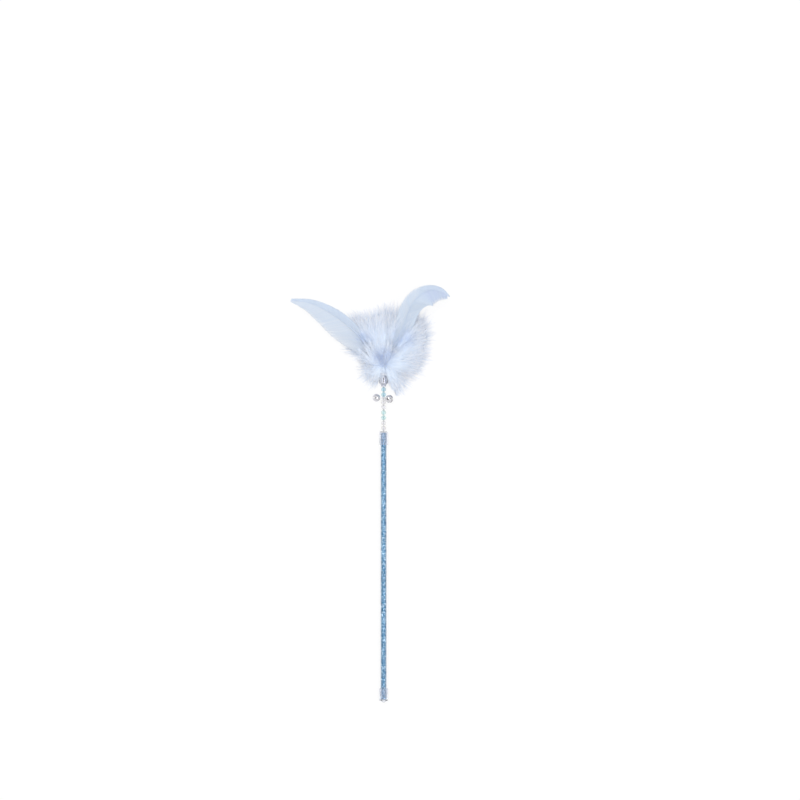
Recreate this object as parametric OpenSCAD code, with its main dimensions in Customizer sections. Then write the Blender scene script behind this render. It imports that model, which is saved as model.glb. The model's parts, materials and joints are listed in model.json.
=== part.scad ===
// Cat teaser wand: a clear glitter tube, a bead strand with two bells, and a feather head.
// It lies flat. +Y runs from the butt cap to the feathers, +X is to the right and +Z is up.
// The origin is on the wand's axis, in the middle of the butt cap's straight wall.

/* [Tube] */
// Outside diameter of the clear tube
tube_d = 6.5; // [5.5:0.1:7]
// Wall of the clear tube
tube_wall = 0.85; // [0.7:0.05:1]
// Length of tube that shows between the two caps
tube_show_l = 243.2; // [150:0.1:400]
// How far the tube goes into the butt cap
butt_seat_l = 11; // [6:0.5:13]
// Wall of the rolled glitter film
film_wall = 0.3; // [0.2:0.05:0.4]

/* [Caps] */
// Outside diameter of both caps
cap_d = 8.6; // [8.4:0.1:11]
// Length of the butt cap's straight wall
butt_wall_l = 11; // [9:0.5:20]
// Length of the butt cap's pointed nose
nose_l = 2.5; // [1:0.1:5]
// Chamfer at the mouth of both caps
mouth_chamfer = 1; // [0.4:0.1:1.5]
// Width left flat at the mouth of both caps
mouth_lip = 0.35; // [0.2:0.05:0.6]
// Length of the top cap
top_cap_l = 13.6; // [9:0.1:25]
// Thickness of the top cap's end wall
top_end_t = 1.4; // [1:0.1:3]
// Rounding of the top cap's end
top_round_r = 1.2; // [0.4:0.1:2]

/* [Line] */
// Diameter of the line
line_d = 0.9; // [0.6:0.05:1]
// Diameter of the line's knot in the top cap
anchor_knot_d = 3.2; // [2:0.1:3.6]
// Diameter of the line's knot in the ferrule
head_knot_d = 3; // [2:0.1:3.4]

/* [Beads] */
// Diameter of a bead across its facets
bead_d = 5; // [4:0.1:7]
// Length of a bead along the line
bead_l = 4.7; // [3.6:0.1:5.5]
// Length of the flats round a bead's girdle
bead_girdle = 1.4; // [0.6:0.1:1.8]
// Number of facets round a bead
bead_facets = 8; // [6:1:12]
// Gap between the top cap and the first bead
first_gap = 1; // [0.8:0.1:3]
// Gap between two beads
bead_gap = 0.5; // [0.5:0.05:1.5]
// Number of beads between the top cap and the bells
lower_beads = 6; // [4:2:8]

/* [Bells] */
// Outside diameter of a bell
bell_d = 8; // [7:0.1:9]
// Wall of a bell
bell_wall = 0.35; // [0.25:0.05:0.6]
// Width of the cross slit in a bell
slit_w = 0.8; // [0.5:0.1:1.2]
// Diameter of the round hole at each end of a slit
slit_hole_d = 1.5; // [1:0.1:2]
// Diameter of the pellet in a bell
pellet_d = 2.4; // [1.6:0.1:3]
// Diameter of the loop's wire
loop_wire_d = 0.8; // [0.5:0.05:1]
// Distance from the line to the middle of a bell
bell_reach = 7.2; // [6.8:0.1:9]
// Gap along the line beside each loop
loop_gap = 0.4; // [0.4:0.05:1]
// Angle at which the left bell lies, from +X towards +Z
left_bell_angle = 180; // [160:1:200]
// Angle at which the right bell lies, from +X towards +Z
right_bell_angle = 38; // [0:1:60]

/* [Ferrule] */
// Diameter of the ferrule at its belly
ferrule_d = 8.6; // [8.2:0.1:11]
// Diameter of the ferrule at its mouth
ferrule_mouth_d = 7.8; // [7.6:0.1:10]
// Diameter of the ferrule's neck
ferrule_neck_d = 5; // [4.4:0.1:6]
// Length of the ferrule
ferrule_l = 10.6; // [9.5:0.1:14]
// Wall of the ferrule
ferrule_wall = 0.45; // [0.3:0.05:0.6]
// Thickness of the ferrule's end wall
ferrule_end_t = 0.8; // [0.5:0.1:1.5]
// Number of slots round the ferrule
ferrule_slots = 6; // [4:1:8]
// Width of a ferrule slot
slot_w = 0.9; // [0.5:0.1:1.2]
// Length of a ferrule slot
slot_l = 5; // [3:0.1:5.5]

/* [Feathers] */
// Sideways reach of the left goose feather; both feathers keep their proportions to it
goose_reach = 91.5; // [90:0.5:95]
// Longest reach of the marabou from its middle
marabou_reach = 60; // [58:0.5:62]
// Height of the highest marabou plume above the wand's axis; the goose feathers lie on it
marabou_h = 20; // [19:0.5:22]
// Diameter of a goose quill at its base
quill_d = 1.8; // [1.4:0.1:2]
// Diameter of a goose quill at its tip
quill_tip_d = 0.5; // [0.3:0.1:0.8]
// Thickness of a goose feather's vane
vane_t = 0.5; // [0.4:0.05:0.8]
// Distance between the two goose quills at the mouth
quill_apart = 2.6; // [2.6:0.1:3]
// Thickness of a marabou plume
plume_t = 3; // [2:0.25:5]
// Diameter of a marabou stem
stem_d = 0.8; // [0.5:0.1:1]

/* [Fit] */
// Radial clearance of the tube in its caps and of the film in the tube
seat_fit = 0.05; // [0.02:0.01:0.1]
// Radial clearance of everything that turns on the line
line_fit = 0.08; // [0.04:0.01:0.1]
// Gap in the line at each bend
bend_gap = 0.3; // [0.2:0.05:0.4]
// Gap between soft pieces
soft_gap = 0.4; // [0.3:0.05:0.6]

/* [Hidden] */
// Count of line pieces, one between each two bends
links = lower_beads + 3;
$fn = 64;

// Colours
clear_col = [0.86, 0.9, 0.96];
film_col = [0.45, 0.66, 0.82];
line_col = [0.85, 0.87, 0.9];
bead_clear_col = [0.9, 0.91, 0.92];
bead_teal_col = [0.62, 0.82, 0.82];
bead_aqua_col = [0.68, 0.88, 0.9];
metal_col = [0.75, 0.76, 0.78];
glue_col = [0.8, 0.83, 0.88];
feather_col = [0.72, 0.82, 0.93];
plume_col = [0.78, 0.86, 0.95];
quill_col = [0.82, 0.87, 0.92];

// How far a cut goes past the face that it opens
cut_past = 1;

// Radii
cap_r = cap_d / 2;
tube_r = tube_d / 2;
socket_r = tube_r + seat_fit;
mouth_r = min(cap_r - 0.1, socket_r + mouth_lip);
film_r = tube_r - tube_wall - seat_fit;
line_r = line_d / 2;
bore_r = line_r + line_fit;
bead_r = bead_d / 2;
bell_r = bell_d / 2;
floor_z = -cap_r;

// Places along the wand
butt_tip_y = -butt_wall_l / 2 - nose_l;
butt_mouth_y = butt_wall_l / 2 + mouth_chamfer;
tube_y0 = butt_mouth_y - butt_seat_l;
top_cap_y0 = butt_mouth_y + tube_show_l;
top_cap_y1 = top_cap_y0 + top_cap_l;
tube_y1 = top_cap_y1 - top_end_t;
anchor_y = tube_y1 - seat_fit - anchor_knot_d / 2;

// Places along the bead strand
bead_pitch = bead_l + bead_gap;
lower_top_y = top_cap_y1 + first_gap + lower_beads * bead_pitch - bead_gap;
right_loop_y = lower_top_y + loop_gap + loop_wire_d / 2;
left_loop_y = right_loop_y + loop_wire_d + loop_gap;
upper_start_y = left_loop_y + loop_wire_d / 2 + loop_gap;
ferrule_y = upper_start_y + 2 * bead_pitch;
mouth_y = ferrule_y + ferrule_l;

// Middle of bead i, counted from 1 at the top cap
function bead_y(i) =
    i <= lower_beads ? top_cap_y1 + first_gap + bead_l / 2 + (i - 1) * bead_pitch
    : upper_start_y + bead_l / 2 + (i - lower_beads - 1) * bead_pitch;

// Place of bend i, counted from 0 at the top cap
function bend_y(i) =
    i == 0 ? top_cap_y1 + bend_gap / 2
    : i < lower_beads ? bead_y(i) + bead_pitch / 2
    : i == lower_beads ? lower_top_y + loop_gap / 2
    : i == lower_beads + 1 ? upper_start_y - loop_gap / 2
    : bead_y(i - 1) + bead_pitch / 2;

// Clear, clear, teal, teal, clear, clear, then aqua
function bead_col(i) =
    i > lower_beads ? bead_aqua_col
    : i > 2 && i <= 4 ? bead_teal_col
    : bead_clear_col;

// Turns a shape drawn along Z so that it stands along the wand at height y
module on_axis(y = 0) {
    translate([0, y, 0]) rotate([-90, 0, 0]) children();
}

module ring_of(outer, inner, y0, y1) {
    on_axis(y0) difference() {
        cylinder(r = outer, h = y1 - y0);
        translate([0, 0, -cut_past]) cylinder(r = inner, h = y1 - y0 + 2 * cut_past);
    }
}

// Tube and caps
module butt_cap() {
    color(clear_col) on_axis() rotate_extrude() polygon([
        [0, butt_tip_y],
        [cap_r, -butt_wall_l / 2],
        [cap_r, butt_wall_l / 2],
        [mouth_r, butt_mouth_y],
        [socket_r, butt_mouth_y],
        [socket_r, tube_y0],
        [0, tube_y0],
    ]);
}

module wand_tube() {
    color(clear_col) ring_of(tube_r, tube_r - tube_wall, tube_y0, tube_y1);
}

module glitter_film() {
    color(film_col) ring_of(film_r, film_r - film_wall, tube_y0, tube_y1);
}

module top_cap() {
    round_r = min(top_round_r, cap_r - bore_r - 0.5);
    color(clear_col) on_axis() rotate_extrude() difference() {
        union() {
            polygon([
                [0, top_cap_y0],
                [mouth_r, top_cap_y0],
                [cap_r, top_cap_y0 + mouth_chamfer],
                [cap_r, top_cap_y1 - round_r],
                [0, top_cap_y1 - round_r],
            ]);
            translate([0, top_cap_y1 - round_r - 0.5]) square([cap_r - round_r, round_r + 0.5]);
            translate([cap_r - round_r, top_cap_y1 - round_r]) circle(r = round_r);
        }
        translate([-1, top_cap_y0 - 1]) square([bore_r + 1, top_cap_l + 2]);
        translate([-1, top_cap_y0 - 1]) square([socket_r + 1, tube_y1 - top_cap_y0 + 1]);
    }
}

// Line, knots and beads
module line_piece(y0, y1) {
    on_axis(y0) cylinder(r = line_r, h = y1 - y0);
}

module anchor_knot() {
    color(line_col) {
        translate([0, anchor_y, 0]) sphere(d = anchor_knot_d);
        line_piece(anchor_y, bend_y(0) - bend_gap / 2);
    }
}

module line_link(i) {
    color(line_col) line_piece(bend_y(i - 1) + bend_gap / 2, bend_y(i) - bend_gap / 2);
}

// A bead has a row of flats round its girdle and two rows of facets towards each end
module bead(i) {
    end_r = sqrt(max(bead_r * bead_r - bead_l * bead_l / 4, 0.7));
    crown_r = bead_r * cos(45);
    color(bead_col(i)) on_axis(bead_y(i)) difference() {
        rotate_extrude($fn = bead_facets) polygon([
            [0, -bead_l / 2],
            [end_r, -bead_l / 2],
            [crown_r, -crown_r],
            [bead_r, -bead_girdle / 2],
            [bead_r, bead_girdle / 2],
            [crown_r, crown_r],
            [end_r, bead_l / 2],
            [0, bead_l / 2],
        ]);
        translate([0, 0, -bead_l]) cylinder(r = bore_r, h = 2 * bead_l);
    }
}

// Bells. Each is drawn with its middle at the origin and its loop along +Z.
loop_hole_r = loop_wire_d / 2 + line_r + line_fit;
loop_arc_z = bell_reach + line_r + line_fit - loop_hole_r;
loop_mid_r = loop_hole_r + loop_wire_d / 2;
pellet_drop = bell_r - bell_wall - pellet_d / 2 - seat_fit;

module hang_bell(angle, y) {
    translate([bell_reach * cos(angle), y, bell_reach * sin(angle)])
        rotate([0, -90 - angle, 0]) children();
}

module bell_shell() {
    slit_top = -bell_r * 0.12;
    color(metal_col) difference() {
        sphere(r = bell_r);
        sphere(r = bell_r - bell_wall);
        for (a = [0, 90]) rotate([0, 0, a]) {
            translate([-bell_d, -slit_w / 2, -bell_d]) cube([2 * bell_d, slit_w, bell_d + slit_top]);
            translate([-bell_d, 0, slit_top]) rotate([0, 90, 0]) cylinder(d = slit_hole_d, h = 2 * bell_d);
        }
    }
}

module bell_loop() {
    color(metal_col) difference() {
        union() {
            translate([0, 0, loop_arc_z]) rotate([90, 0, 0])
                rotate_extrude(angle = 180) translate([loop_mid_r, 0]) circle(d = loop_wire_d, $fn = 24);
            for (side = [-1, 1])
                translate([side * loop_mid_r, 0, 0]) cylinder(d = loop_wire_d, h = loop_arc_z, $fn = 24);
        }
        sphere(r = bell_r);
    }
}

module pellet_at(angle, y) {
    color(metal_col)
        translate([bell_reach * cos(angle), y, bell_reach * sin(angle) - pellet_drop])
        sphere(d = pellet_d);
}

// Ferrule: a slotted bell cap. Its outline is rows of [radius, height above its end].
belly_r = ferrule_d / 2;
neck_r = ferrule_neck_d / 2;
belly_y0 = 4;
belly_y1 = ferrule_l - 1.6;
cup_top_r = ferrule_mouth_d / 2 - ferrule_wall;
plug_top_y = mouth_y - 0.9;
plug_y0 = ferrule_y + ferrule_end_t + head_knot_d + 0.5;
plug_r = cup_top_r - seat_fit;
ferrule_outline = [
    [neck_r, 1.2],
    [neck_r + 0.15, 1.6],
    [lerp(neck_r, belly_r, 0.45), 2.2],
    [lerp(neck_r, belly_r, 0.8), 2.9],
    [lerp(neck_r, belly_r, 0.97), 3.5],
    [belly_r, belly_y0],
    [belly_r, belly_y1],
    [ferrule_mouth_d / 2, ferrule_l],
];

module ferrule() {
    last = len(ferrule_outline) - 1;
    color(metal_col) on_axis(ferrule_y) difference() {
        rotate_extrude() polygon(concat(
            [[bore_r, 0], [neck_r - 0.3, 0], [neck_r, 0.3]],
            ferrule_outline,
            [for (i = [last : -1 : 0]) ferrule_outline[i] - [ferrule_wall, i == last ? 0 : -ferrule_wall / 3]],
            [[neck_r - ferrule_wall, ferrule_end_t], [bore_r, ferrule_end_t]]
        ));
        for (i = [0 : ferrule_slots - 1]) rotate([0, 0, i * 360 / ferrule_slots]) {
            slot_y = (belly_y0 + belly_y1) / 2;
            translate([-slot_w / 2, belly_r / 2, slot_y - slot_l / 2 + slot_w / 2])
                cube([slot_w, belly_r, slot_l - slot_w]);
            for (end = [-1, 1])
                translate([0, belly_r / 2, slot_y + end * (slot_l - slot_w) / 2])
                rotate([-90, 0, 0]) cylinder(d = slot_w * 1.2, h = belly_r, $fn = 24);
        }
    }
}

module head_knot() {
    knot_y = ferrule_y + ferrule_end_t + seat_fit + head_knot_d / 2;
    color(line_col) {
        translate([0, knot_y, 0]) sphere(d = head_knot_d);
        line_piece(bend_y(links) + bend_gap / 2, knot_y);
    }
}

// The plug has a hole for each goose quill. The marabou stems stand on it.
quill_z = 1.3;
quill_depth = 4.5;

module glue_plug() {
    color(glue_col) difference() {
        ring_of(plug_r, 0, plug_y0, plug_top_y);
        for (side = [-1, 1])
            translate([side * quill_apart / 2, plug_top_y - quill_depth - seat_fit, quill_z])
            rotate([-90, 0, 0]) cylinder(d = quill_d + soft_gap, h = 2 * quill_depth);
    }
}

// Feathers. Their places are counted from the middle of the ferrule's mouth.
function lerp(a, b, t) = a + (b - a) * t;

// A smooth curve through points; t runs from 0 to the last point's number
function curve_at(p, t) =
    let(
        n = len(p),
        i = min(floor(t), n - 2),
        f = t - i,
        a = p[max(i - 1, 0)],
        b = p[i],
        c = p[i + 1],
        d = p[min(i + 2, n - 1)]
    )
    0.5 * (2 * b + (c - a) * f + (2 * a - 5 * b + 4 * c - d) * f * f + (3 * b - 3 * c + d - a) * f * f * f);

function curve_dir(p, t) =
    let(
        e = 0.02,
        d = curve_at(p, min(t + e, len(p) - 1)) - curve_at(p, max(t - e, 0))
    )
    d / norm(d);

// A closed skin over rings that have equal counts of points
function skin_faces(rings, points) = concat(
    [for (i = [0 : rings - 2], j = [0 : points - 1])
        [i * points + j, i * points + (j + 1) % points, (i + 1) * points + j]],
    [for (i = [0 : rings - 2], j = [0 : points - 1])
        [i * points + (j + 1) % points, (i + 1) * points + (j + 1) % points, (i + 1) * points + j]]
);

// Each row is [x, y, z, half-width on the left, half-width on the right], where z is in
// hundredths of the marabou's height and the rest in hundredths of the goose feather's reach
left_shares = [
    [-3.3, 9.8, 17.5, 0, 0],
    [-10.9, 24, 40, 7.7, 1.6],
    [-24, 40.4, 65, 16.9, 4.9],
    [-35, 51.4, 80, 20.2, 6.6],
    [-47, 61.2, 92.5, 20.2, 7.7],
    [-62.3, 71, 102.5, 16.4, 6.6],
    [-79.8, 78.7, 107.5, 10.4, 4.4],
    [-100, 82.5, 105, 1.6, 1.3],
];
right_shares = [
    [3.3, 10.9, 20, 0, 0],
    [9.3, 31.1, 50, 3.3, 3.3],
    [15.8, 41.5, 65, 6.6, 7.1],
    [22.4, 55.7, 80, 9.8, 10.4],
    [29, 73.2, 95, 10.9, 11.5],
    [37.7, 85.8, 105, 9.3, 14.2],
    [49.7, 92.9, 110, 5.7, 18],
    [61.7, 91.3, 107.5, 4.4, 13.7],
    [71.6, 85.2, 100, 1.1, 2.7],
];
// The quill stands straight in the glue plug, and the shares take over above the mouth
function feather_rows(side, shares) = concat(
    [for (y = [-quill_depth * 1.2, -quill_depth * 0.6, 0]) [side * quill_apart / 2, y, quill_z, 0, 0]],
    [for (r = shares) [
        r[0] * goose_reach, r[1] * goose_reach, r[2] * marabou_h, r[3] * goose_reach, r[4] * goose_reach
    ] / 100]
);
left_rows = feather_rows(-1, left_shares);
right_rows = feather_rows(1, right_shares);
feather_steps = 3;
vane_droop = 0.1;

// One cross-section: a quill with a thin drooping vane on each side
function feather_ring(rows, t) =
    let(
        path = [for (r = rows) [r[0], r[1], r[2]]],
        wide = [for (r = rows) [r[3], r[4], 0]],
        s = t / (len(rows) - 1),
        p = curve_at(path, t),
        d = curve_dir(path, t),
        side = cross(d, [0, 0, 1]) / norm(cross(d, [0, 0, 1])),
        up = cross(side, d),
        q = lerp(quill_d, quill_tip_d, s) / 2,
        w = curve_at(wide, t),
        left = max(w[0], q * 1.02),
        right = max(w[1], q * 1.02),
        h = min(vane_t / 2, q * 0.7),
        top = q * sin(60),
        droop = function (x) abs(x) > q ? vane_droop * x * x / (x < 0 ? left : right) : 0,
        at = function (x, z) p + x * side + (z - droop(x)) * up
    )
    [
        at(right, h * 0.6), at(lerp(q, right, 0.5), h), at(q * 0.9, h), at(q * 0.5, top),
        at(-q * 0.5, top), at(-q * 0.9, h), at(-lerp(q, left, 0.5), h), at(-left, h * 0.6),
        at(-left, -h * 0.6), at(-lerp(q, left, 0.5), -h), at(-q * 0.9, -h), at(-q * 0.5, -top),
        at(q * 0.5, -top), at(q * 0.9, -h), at(lerp(q, right, 0.5), -h), at(right, -h * 0.6),
    ];

module feather(rows) {
    sections = (len(rows) - 1) * feather_steps;
    rings = [for (i = [0 : sections]) feather_ring(rows, i / feather_steps)];
    sides = len(rings[0]);
    last = sections * sides;
    points = [for (r = rings) each r];
    caps = concat(
        [for (j = [1 : sides - 2]) [0, j + 1, j]],
        [for (j = [1 : sides - 2]) [last, last + j, last + j + 1]]
    );
    color(feather_col) translate([0, mouth_y, 0])
        polyhedron(points = points, faces = concat(skin_faces(sections + 1, sides), caps));
}

// Marabou plumes: domed petals round a point above the mouth.
// Each row is [first angle, last angle, reach at the first angle, at the last, height, place of the height],
// where a reach is in hundredths of marabou_reach and a height in hundredths of marabou_h
plume_hub_y = 11.2;
plume_hub_r = 8;
plume_least_l = 6;
plume_shares = [
    [-70, -20, 46.7, 56.7, 70, 0.42],
    [-20, 14, 58.3, 75, 90, 0.42],
    [14, 44, 76.7, 100, 100, 0.42],
    [44, 84, 96.7, 100, 67.5, 0.72],
    [84, 120, 100, 93.3, 85, 0.5],
    [120, 142, 93.3, 83.3, 65, 0.72],
    [142, 164, 76.7, 50, 37.5, 0.6],
    [164, 252, 40, 33.3, 55, 0.42],
];
plume_rows = [for (r = plume_shares)
    [r[0], r[1], r[2] * marabou_reach / 100, r[3] * marabou_reach / 100, r[4] * marabou_h / 100, r[5]]];
plume_in_z = 4;
plume_rim = 1.5;
stem_first_a = -46;
stem_last_a = 226;
plume_across = 8;
plume_along = 8;

// Plumes below the mouth start beside the ferrule
function plume_start(a) = max(plume_hub_r, sin(a) < -0.6 ? (belly_r + 2 * soft_gap) / abs(cos(a)) : 0);

function plume_top(row, u, v) =
    let(
        peak = row[5],
        high = row[4] - 2 * u * u,
        rim_z = floor_z + plume_rim,
        f = v < peak ? sin(90 * v / peak) : sqrt(max(0, 1 - pow((v - peak) / (1 - peak), 2)))
    )
    v < peak ? lerp(plume_in_z, high, row[5] > 0.55 ? v / peak : f) : lerp(rim_z, high, f);

function plume_point(row, u, v, top) =
    let(
        a = lerp(row[0], row[1], (u + 1) / 2),
        start = plume_start(a),
        reach = lerp(row[2], row[3], (u + 1) / 2) * (1 - 0.07 * u * u),
        r = lerp(start, max(reach, start + plume_least_l), v),
        z = plume_top(row, u, v),
        inward = -u * soft_gap / 2
    )
    [
        r * cos(a) - inward * sin(a),
        plume_hub_y + r * sin(a) + inward * cos(a),
        top ? z : max(floor_z, z - plume_t)
    ];

module plume(i) {
    row = plume_rows[i - 1];
    nu = plume_across;
    nv = plume_along;
    ring = 2 * (nu + 1);
    rings = [for (k = [0 : nv]) concat(
        [for (j = [0 : nu]) plume_point(row, 2 * j / nu - 1, k / nv, true)],
        [for (j = [nu : -1 : 0]) plume_point(row, 2 * j / nu - 1, k / nv, false)]
    )];
    last = nv * ring;
    ends = concat(
        [for (j = [0 : nu - 1]) [j, ring - 1 - j, j + 1]],
        [for (j = [0 : nu - 1]) [j + 1, ring - 1 - j, ring - 2 - j]],
        [for (j = [0 : nu - 1]) [last + j, last + j + 1, last + ring - 1 - j]],
        [for (j = [0 : nu - 1]) [last + j + 1, last + ring - 2 - j, last + ring - 1 - j]]
    );
    color(plume_col) translate([0, mouth_y, 0])
        polyhedron(points = [for (r = rings) each r], faces = concat(skin_faces(nv + 1, ring), ends));
}

// A round rod between two points
module rod(a, b, d) {
    v = b - a;
    translate(a) rotate([0, acos(v[2] / norm(v)), atan2(v[1], v[0])]) cylinder(d = d, h = norm(v), $fn = 16);
}

// One stem for each plume, from the top of the glue plug to the plume's inner end
module plume_stems() {
    stem_ring_r = plug_r - stem_d;
    stem_end_r = plume_hub_r - stem_d;
    top_y = plug_top_y - mouth_y + seat_fit + stem_d / 4;
    last = len(plume_rows);
    color(quill_col) translate([0, mouth_y, 0]) for (i = [1 : last]) {
        row = plume_rows[i - 1];
        to_a = i == 1 ? stem_first_a : i == last ? stem_last_a : (row[0] + row[1]) / 2;
        from_a = lerp(0, -180, (i - 1) / (last - 1));
        rod(
            [stem_ring_r * cos(from_a), top_y, stem_ring_r * sin(from_a)],
            [stem_end_r * cos(to_a), plume_hub_y + stem_end_r * sin(to_a), plume_in_z - plume_t / 2],
            stem_d
        );
    }
}

butt_cap();
wand_tube();
glitter_film();
top_cap();
anchor_knot();
for (i = [1 : lower_beads + 2]) bead(i);
for (i = [1 : links]) line_link(i);
hang_bell(left_bell_angle, left_loop_y) bell_shell();  // left_bell_shell
hang_bell(left_bell_angle, left_loop_y) bell_loop();  // left_bell_loop
pellet_at(left_bell_angle, left_loop_y);  // left_bell_pellet
hang_bell(right_bell_angle, right_loop_y) bell_shell();  // right_bell_shell
hang_bell(right_bell_angle, right_loop_y) bell_loop();  // right_bell_loop
pellet_at(right_bell_angle, right_loop_y);  // right_bell_pellet
ferrule();
head_knot();
glue_plug();
plume_stems();
feather(left_rows);  // left_feather
feather(right_rows);  // right_feather
for (i = [1 : 8]) plume(i);
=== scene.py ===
import json
import math
import random
from functools import partial

import bpy
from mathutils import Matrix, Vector, noise

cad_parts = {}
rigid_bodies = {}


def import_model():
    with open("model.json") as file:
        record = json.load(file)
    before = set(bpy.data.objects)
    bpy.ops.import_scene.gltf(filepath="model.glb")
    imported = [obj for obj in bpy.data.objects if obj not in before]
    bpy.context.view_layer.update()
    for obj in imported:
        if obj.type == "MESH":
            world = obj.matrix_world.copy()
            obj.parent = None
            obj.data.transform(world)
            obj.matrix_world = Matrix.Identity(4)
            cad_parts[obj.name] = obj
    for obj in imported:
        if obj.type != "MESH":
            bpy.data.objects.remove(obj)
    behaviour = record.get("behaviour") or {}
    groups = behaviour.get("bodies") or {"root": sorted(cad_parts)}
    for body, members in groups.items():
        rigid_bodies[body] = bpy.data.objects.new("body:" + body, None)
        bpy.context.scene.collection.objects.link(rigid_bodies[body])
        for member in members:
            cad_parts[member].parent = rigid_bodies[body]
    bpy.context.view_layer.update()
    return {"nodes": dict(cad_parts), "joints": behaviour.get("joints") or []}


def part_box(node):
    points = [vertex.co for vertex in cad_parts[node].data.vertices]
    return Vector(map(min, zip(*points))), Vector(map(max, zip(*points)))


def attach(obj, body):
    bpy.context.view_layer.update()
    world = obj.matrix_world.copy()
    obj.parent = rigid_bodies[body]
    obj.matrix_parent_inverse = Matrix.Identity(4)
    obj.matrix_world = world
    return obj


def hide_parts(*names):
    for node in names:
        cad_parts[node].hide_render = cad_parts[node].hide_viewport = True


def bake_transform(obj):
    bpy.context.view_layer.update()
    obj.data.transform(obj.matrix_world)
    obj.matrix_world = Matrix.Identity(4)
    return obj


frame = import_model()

bl_info = {
    "name": "Cat teaser wand",
    "version": (1, 0, 0),
    "blender": (4, 5, 0),
    "location": "3D View > Sidebar > Teaser",
    "description": "Dresses a cat teaser wand: glitter tube, beads, bells, goose feathers and marabou",
    "category": "Object",
}

MM = 0.001
PER_SQUARE_MM = 1e6

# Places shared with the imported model, in millimetres
MOUTH_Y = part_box("ferrule")[1].y / MM
FERRULE_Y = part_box("ferrule")[0].y / MM
FLOOR_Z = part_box("butt_cap")[0].z / MM
BELLS_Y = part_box("left_bell_shell")[1].y / MM
BELLS_R = -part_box("left_bell_shell")[0].x / MM
# The middle of the marabou lies this far beyond the ferrule's mouth
HUB_Y = 11.2

# Kinds of node that come often
MATH = "ShaderNodeMath"
PLUS = MATH + " ADD"
TIMES = MATH + " MULTIPLY"
TIMES_PLUS = MATH + " MULTIPLY_ADD"
POWER = MATH + " POWER"
LARGER = MATH + " MAXIMUM"
VECTOR = "ShaderNodeVectorMath"
VECTOR_PLUS = VECTOR + " ADD"
SCALE = VECTOR + " SCALE"
RANGE = "ShaderNodeMapRange"
COMBINE = "ShaderNodeCombineXYZ"
SPLIT = "ShaderNodeSeparateXYZ"
COORDINATES = "ShaderNodeTexCoord"
NOISE = "ShaderNodeTexNoise"
RAMP = "ShaderNodeValToRGB"
MIX = "ShaderNodeMix"
BUMP = "ShaderNodeBump"
MARK = "ShaderNodeAttribute"
RANDOM = "FunctionNodeRandomValue"
AXES = "FunctionNodeAxesToRotation"
READ = "GeometryNodeInputNamedAttribute"
STORE = "GeometryNodeStoreNamedAttribute"
PLACE = "GeometryNodeInputPosition"
MOVE = "GeometryNodeSetPosition"
SHADING = "GeometryNodeSetShadeSmooth"
INSTANCES = "GeometryNodeInstanceOnPoints"
REALIZE = "GeometryNodeRealizeInstances"


def hex_colour(text):
    """An sRGB hex value as the linear colour that the sockets take."""
    parts = [int(text[i:i + 2], 16) / 255 for i in (1, 3, 5)]
    return (*[c / 12.92 if c <= 0.04045 else ((c + 0.055) / 1.055) ** 2.4 for c in parts], 1.0)


def toned(tint, share):
    """A colour made darker or lighter."""
    return (*[min(1.0, c * share) for c in tint[:3]], 1.0)


def lerp(a, b, t):
    return a + (b - a) * t


def between(a, b, share):
    """A colour part of the way from one to another."""
    return tuple(lerp(x, y, share) for x, y in zip(a, b))


# Settings

def length(name, description, default_mm, low_mm, high_mm):
    return bpy.props.FloatProperty(
        name=name, description=description, default=default_mm * MM,
        min=low_mm * MM, max=high_mm * MM, unit="LENGTH", precision=5)


def colour(name, description, default):
    return bpy.props.FloatVectorProperty(
        name=name, description=description, default=hex_colour(default),
        size=4, min=0.0, max=1.0, subtype="COLOR")


class TubeSettings(bpy.types.PropertyGroup):
    flake_width: length("Flake width", "Width across one glitter flake", 1.1, 0.3, 1.5)
    flake_pitch: length("Flake pitch", "Distance between flakes along and round the film", 0.8, 0.3, 2)
    # The dark and bright flake colours are painted shade and painted glints, given to flakes at random
    flake_shaded: colour("Dark flakes", "Flakes that face away from the light", "#38698C")
    flake_glint: colour("Bright flakes", "Flakes that face the light", "#DDF4FF")
    film: colour("Film", "Foil behind the flakes", "#68A4C6")
    plastic: colour("Tube plastic", "Clear acrylic of the tube", "#F0F4FB")
    cap: colour("Caps", "Soft plastic of the two end caps", "#F5F8FF")


class StrandSettings(bpy.types.PropertyGroup):
    clear: colour("Clear beads", "Acrylic of the clear beads", "#FAFBFF")
    teal: colour("Teal beads", "Acrylic of the teal beads", "#DDF3F4")
    aqua: colour("Aqua beads", "Acrylic of the aqua beads", "#D2ECFA")
    line: colour("Line", "Nylon line", "#F6F7FA")
    line_width: length("Line width", "Diameter of the line", 0.9, 0.6, 1)


class MetalSettings(bpy.types.PropertyGroup):
    nickel: colour("Nickel", "Plated bells and their loops", "#E3E2E7")
    ferrule: colour("Ferrule", "Plated ferrule", "#C9CBD6")
    # The glue's dark colour is painted shade, seen through the ferrule's slots
    glue: colour("Glue", "Glue plug in the ferrule", "#5C4F4C")


class FeatherSettings(bpy.types.PropertyGroup):
    barb_pitch: length("Barb pitch", "Distance between barbs along the rachis", 0.5, 0.3, 1.5)
    barb_width: length("Barb width", "Width of one flat barb", 0.95, 0.4, 2)
    vane: colour("Vane", "Dyed goose vane", "#CEDCEE")
    # A colour for painted shade on the vane's darker side and turned-over end, and for the quill's deeper
    # patches
    vane_shaded_and_deep: colour("Deep vane", "Where the vane is dyed deeper", "#C4D1EA")
    # A colour for painted light on the vane's lighter side and edges
    vane_lit: colour("Pale vane", "Where the vane took less dye", "#DEE5F0")


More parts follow.
